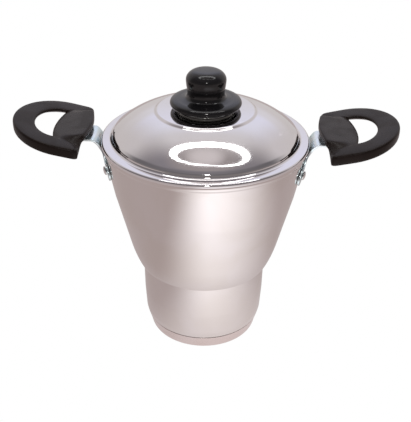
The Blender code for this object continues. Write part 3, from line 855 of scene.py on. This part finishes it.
def make_finishes():
    """One material for each slot of the record."""
    return {
        "body_steel": polished_metal("satin body steel", (0.76, 0.715, 0.70), (0.73, 0.68, 0.65),
                                     (0.09, 0.14)),
        "base_steel": polished_metal("satin base steel", (0.77, 0.69, 0.67), (0.72, 0.62, 0.59),
                                     (0.18, 0.26)),
        "core_aluminium": polished_metal("plain aluminium", (0.80, 0.81, 0.82), (0.72, 0.73, 0.75),
                                         (0.38, 0.5)),
        "lid_steel": polished_metal("mirror lid steel", (0.82, 0.80, 0.81), (0.79, 0.77, 0.77),
                                    (0.035, 0.07),
                                    lines=2600.0, ring_depth=0.006 * MM),
        "bracket_plating": plated_metal("zinc plated bracket", (0.86, 0.92, 0.95), (0.70, 0.86, 0.88),
                                        (0.2, 0.3)),
        "rivet_steel": plated_metal("bright rivet steel", (0.80, 0.77, 0.76), (0.66, 0.63, 0.62),
                                    (0.14, 0.24)),
        "screw_plating": plated_metal("zinc plated screws", (0.72, 0.76, 0.76), (0.55, 0.62, 0.62),
                                      (0.24, 0.36)),
        "seat_steel": polished_metal("plain seat steel", (0.62, 0.63, 0.58), (0.5, 0.51, 0.46),
                                     (0.28, 0.4)),
        "insert_brass": polished_metal("turned brass", (0.80, 0.62, 0.30), (0.7, 0.52, 0.24), (0.22, 0.35)),
        "grip_phenolic": phenolic("black grip phenolic", (0.017, 0.011, 0.009), (0.022, 0.014, 0.011),
                                  (0.26, 0.38), 0.16, 0.0, 0.015 * MM),
        "knob_phenolic": phenolic("black knob phenolic", (0.008, 0.008, 0.009), (0.012, 0.011, 0.012),
                                  (0.09, 0.15), 0.42, 0.1, 0.006 * MM),
    }


# =================================== assembly ====================================================
FINISHES = make_finishes()


def fit(piece, body, slot, *nodes):
    """Gives a piece its finish and its body, and hides the frame nodes that it stands for."""
    piece.data.materials.clear()
    piece.data.materials.append(FINISHES[slot])
    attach(piece, body)
    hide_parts(*nodes)


def build_pot():
    fit(build_pot_body(), "pot", "body_steel", "pot_body")
    fit(build_base_cap(), "pot", "base_steel", "base_cap")
    for side in (1, -1):
        name = side_name(side)
        fit(build_grip(side), "pot", "grip_phenolic", name + "_grip")
        fit(build_bracket(side), "pot", "bracket_plating", name + "_bracket")
        for lateral, place in ((-side, "front"), (side, "rear")):
            rivet = build_rivet("%s_%s_domed_rivet" % (name, place), rivet_matrix(side, lateral))
            fit(rivet, "pot", "rivet_steel", "%s_rivet_%s" % (name, place))
        washer_low, washer_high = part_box(name + "_lock_washer")
        screw_low, screw_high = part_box(name + "_grip_screw")
        washer = split_washer(name + "_split_washer", SCREW_R + GAP, 4.0 * MM, washer_low.z, washer_high.z,
                              side * GRIP_SCREW_X)
        fit(washer, "pot", "screw_plating", name + "_lock_washer")
        screw = screw_with_recess(name + "_pan_screw", washer_low.z - GAP, screw_low.z + 0.3 * MM,
                                  screw_high.z,
                                  4.2 * MM, side * GRIP_SCREW_X)
        fit(screw, "pot", "screw_plating", name + "_grip_screw")


def build_lid_pieces():
    fit(build_lid(), "lid", "lid_steel", "lid_shell")
    fit(build_knob(), "lid", "knob_phenolic", "knob")
    seat = flat_ring("pressed_knob_seat", LID_BORE_R, SEAT_R, SEAT_LOW.z, SEAT_HIGH.z, 0.25 * MM)
    fit(seat, "lid", "seat_steel", "knob_seat")
    washer_low, washer_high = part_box("knob_screw_washer")
    washer = flat_ring("plain_knob_washer", LID_BORE_R, washer_high.x, washer_low.z, washer_high.z,
                       0.2 * MM, 64)
    fit(washer, "lid", "screw_plating", "knob_screw_washer")
    screw_low, screw_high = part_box("knob_screw")
    screw = screw_with_recess("knob_pan_screw", washer_low.z - GAP, screw_low.z + 0.3 * MM, screw_high.z,
                              4.4 * MM, 0.0)
    fit(screw, "lid", "screw_plating", "knob_screw")


def finish_hidden_nodes():
    """The frame's own nodes that stay: each gets the finish of its slot."""
    slots = {"base_core": "core_aluminium", "knob_insert": "insert_brass"}
    for side in ("left", "right"):
        slots[side + "_grip_insert"] = "insert_brass"
    for node, slot in slots.items():
        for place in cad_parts[node].material_slots:
            place.material = FINISHES[slot]


# =================================== stage =======================================================
AIM = Vector((0.0010, 0.0, 0.1249))
CAMERA_DISTANCE = 0.7272
CAMERA_ELEVATION = math.radians(30.6)
CAMERA_SWING = math.radians(1.5)
CAMERA_ROLL = math.radians(0.80)
CAMERA_LENS = 64.0


def set_camera():
    data = bpy.data.cameras.new("camera")
    data.lens = CAMERA_LENS
    data.sensor_width = 36.0
    data.sensor_fit = "AUTO"
    camera = bpy.data.objects.new("camera", data)
    bpy.context.scene.collection.objects.link(camera)
    level = CAMERA_DISTANCE * math.cos(CAMERA_ELEVATION)
    camera.location = AIM + Vector((level * math.sin(CAMERA_SWING), -level * math.cos(CAMERA_SWING),
                                    CAMERA_DISTANCE * math.sin(CAMERA_ELEVATION)))
    look = (AIM - camera.location).to_track_quat("-Z", "Y")
    camera.rotation_mode = "QUATERNION"
    camera.rotation_quaternion = look @ Quaternion((0.0, 0.0, 1.0), CAMERA_ROLL)
    bpy.context.scene.camera = camera


def emission_mix(tree, seen, lit, output):
    """Plain white where it is seen directly, the given light for everything it lights."""
    plain = tree.nodes.new("ShaderNodeEmission" if output.bl_idname == "ShaderNodeOutputMaterial"
                           else "ShaderNodeBackground")
    plain.inputs["Color"].default_value = (*seen, 1.0)
    path = tree.nodes.new("ShaderNodeLightPath")
    choice = tree.nodes.new("ShaderNodeMixShader")
    tree.links.new(path.outputs["Is Camera Ray"], choice.inputs[0])
    tree.links.new(lit.outputs[0], choice.inputs[1])
    tree.links.new(plain.outputs[0], choice.inputs[2])
    tree.links.new(choice.outputs[0], output.inputs["Surface"])


FLOOR_HALF = 3.0
FLOOR_BRIGHT = (1.40, 1.37, 1.40)
FLOOR_DULL = (0.50, 0.435, 0.43)
FLOOR_SPOT = (0.035, -0.27)
FLOOR_SPREAD = (0.12, 0.26, 0.24)      # how far it reaches to the left, to the right, and front to back


def build_floor():
    """Pale floor: a soft pool of light in front of the pot, duller to the sides."""
    bm = bmesh.new()
    bmesh.ops.create_grid(bm, x_segments=2, y_segments=2, size=FLOOR_HALF)
    floor = add_object("floor", bm)
    floor.location.z = -0.2 * MM
    material = bpy.data.materials.new("pale floor")
    material.use_nodes = True
    tree = material.node_tree
    tree.nodes.clear()
    split = tree.nodes.new("ShaderNodeSeparateXYZ")
    tree.links.new(tree.nodes.new("ShaderNodeTexCoord").outputs["Object"], split.inputs[0])
    x, y = split.outputs[0], split.outputs[1]
    left, right, depth = FLOOR_SPREAD
    leftwards = math_node(tree, "MAXIMUM", math_node(tree, "SUBTRACT", FLOOR_SPOT[0], x), 0.0)
    rightwards = math_node(tree, "MAXIMUM", math_node(tree, "SUBTRACT", x, FLOOR_SPOT[0]), 0.0)
    across = math_node(tree, "ADD", math_node(tree, "DIVIDE", leftwards, left),
                       math_node(tree, "DIVIDE", rightwards, right))
    along = math_node(tree, "DIVIDE", math_node(tree, "SUBTRACT", y, FLOOR_SPOT[1]), depth)
    squares = [math_node(tree, "MULTIPLY", across, across), math_node(tree, "MULTIPLY", along, along)]
    distance = math_node(tree, "SQRT", math_node(tree, "ADD", *squares))
    pool = range_node(tree, distance, 0.0, 1.6, 1.0, 0.0)
    light = tree.nodes.new("ShaderNodeEmission")
    tree.links.new(mix_colours(tree, pool, FLOOR_DULL, FLOOR_BRIGHT), light.inputs["Color"])
    emission_mix(tree, (1.0, 1.0, 1.0), light, tree.nodes.new("ShaderNodeOutputMaterial"))
    floor.data.materials.append(material)


BACK_SKY = ((0.00, (0.66, 0.63, 0.62)), (0.12, (0.68, 0.64, 0.64)), (0.33, (0.76, 0.74, 0.78)),
            (0.46, (0.82, 0.82, 0.95)), (0.62, (0.82, 0.82, 0.93)), (0.85, (0.72, 0.69, 0.71)),
            (1.00, (0.70, 0.64, 0.64)))
SIDE_SKY = ((0.00, (0.60, 0.56, 0.55)), (0.30, (0.66, 0.62, 0.62)), (0.60, (0.66, 0.62, 0.63)),
            (0.85, (0.50, 0.46, 0.46)), (1.00, (0.70, 0.64, 0.64)))
FRONT_SKY = ((0.00, (0.22, 0.20, 0.20)), (0.50, (0.16, 0.15, 0.16)), (0.85, (0.26, 0.24, 0.26)),
             (0.96, (0.36, 0.32, 0.32)), (1.00, (0.70, 0.64, 0.64)))


def sky_ramp(tree, height, stops):
    node = tree.nodes.new("ShaderNodeValToRGB")
    ramp = node.color_ramp
    ramp.interpolation = "EASE"
    while len(ramp.elements) < len(stops):
        ramp.elements.new(0.5)
    for element, (place, colour) in zip(ramp.elements, stops):
        element.position = place
        element.color = (*colour, 1.0)
    tree.links.new(height, node.inputs[0])
    return node.outputs[0]


def set_world():
    """Soft room light: cool from above and behind, warm and dim to the sides, darkest in front."""
    world = bpy.data.worlds.new("soft room")
    bpy.context.scene.world = world
    world.use_nodes = True
    tree = world.node_tree
    tree.nodes.clear()
    split = tree.nodes.new("ShaderNodeSeparateXYZ")
    tree.links.new(tree.nodes.new("ShaderNodeTexCoord").outputs["Generated"], split.inputs[0])
    x, y, z = split.outputs
    behind = range_node(tree, y, -0.05, 0.45, 0.0, 1.0)
    aside = range_node(tree, math_node(tree, "ABSOLUTE", x), 0.25, 0.65, 0.0, 1.0)
    back = mix_colours(tree, aside, sky_ramp(tree, z, BACK_SKY), sky_ramp(tree, z, SIDE_SKY))
    sky = mix_colours(tree, behind, sky_ramp(tree, z, FRONT_SKY), back)
    light = tree.nodes.new("ShaderNodeBackground")
    tree.links.new(sky, light.inputs["Color"])
    emission_mix(tree, (1.0, 1.0, 1.0), light, tree.nodes.new("ShaderNodeOutputWorld"))


RING_CENTRE = (0.06, 0.0, 0.95)
RING_INNER = (0.33, 0.17)     # half width and half depth
RING_OUTER = (0.41, 0.235)
RING_INNER_SHIFT = -0.045      # the inner edge sits nearer the front, so the ring is widest at the back
RING_LIGHT = 4.0


def build_ring_light():
    """Flat oval ring light overhead."""
    bm = bmesh.new()
    steps = 96
    loops = []
    for half, shift in ((RING_INNER, RING_INNER_SHIFT), (RING_OUTER, 0.0)):
        angles = [2.0 * math.pi * i / steps for i in range(steps)]
        loops.append([bm.verts.new((half[0] * math.cos(a), half[1] * math.sin(a) + shift, 0.0))
                      for a in angles])
    for i in range(steps):
        k = (i + 1) % steps
        bm.faces.new((loops[0][i], loops[1][i], loops[1][k], loops[0][k]))
    ring = add_object("ring_light", bm)
    ring.location = RING_CENTRE
    material = bpy.data.materials.new("ring light")
    material.use_nodes = True
    tree = material.node_tree
    tree.nodes.clear()
    glow = tree.nodes.new("ShaderNodeEmission")
    glow.inputs["Strength"].default_value = RING_LIGHT
    tree.links.new(glow.outputs[0], tree.nodes.new("ShaderNodeOutputMaterial").inputs["Surface"])
    ring.data.materials.append(material)
    ring.visible_camera = False


def add_softbox(name, place, aim, size, power, colour):
    data = bpy.data.lights.new(name, "AREA")
    data.shape = "RECTANGLE"
    data.size, data.size_y = size
    data.energy = power
    data.color = colour
    lamp = bpy.data.objects.new(name, data)
    bpy.context.scene.collection.objects.link(lamp)
    lamp.location = place
    lamp.rotation_euler = (Vector(aim) - Vector(place)).to_track_quat("-Z", "Y").to_euler()


def build_stage():
    build_floor()
    set_world()
    build_ring_light()
    add_softbox("front_softbox", (0.1, -1.3, 1.0), (0.0, 0.0, 0.15), (0.12, 0.09), 1.2, (1.0, 0.97, 0.95))
    set_camera()
    bpy.context.scene.view_settings.view_transform = "Standard"


build_pot()
build_lid_pieces()
finish_hidden_nodes()
build_stage()
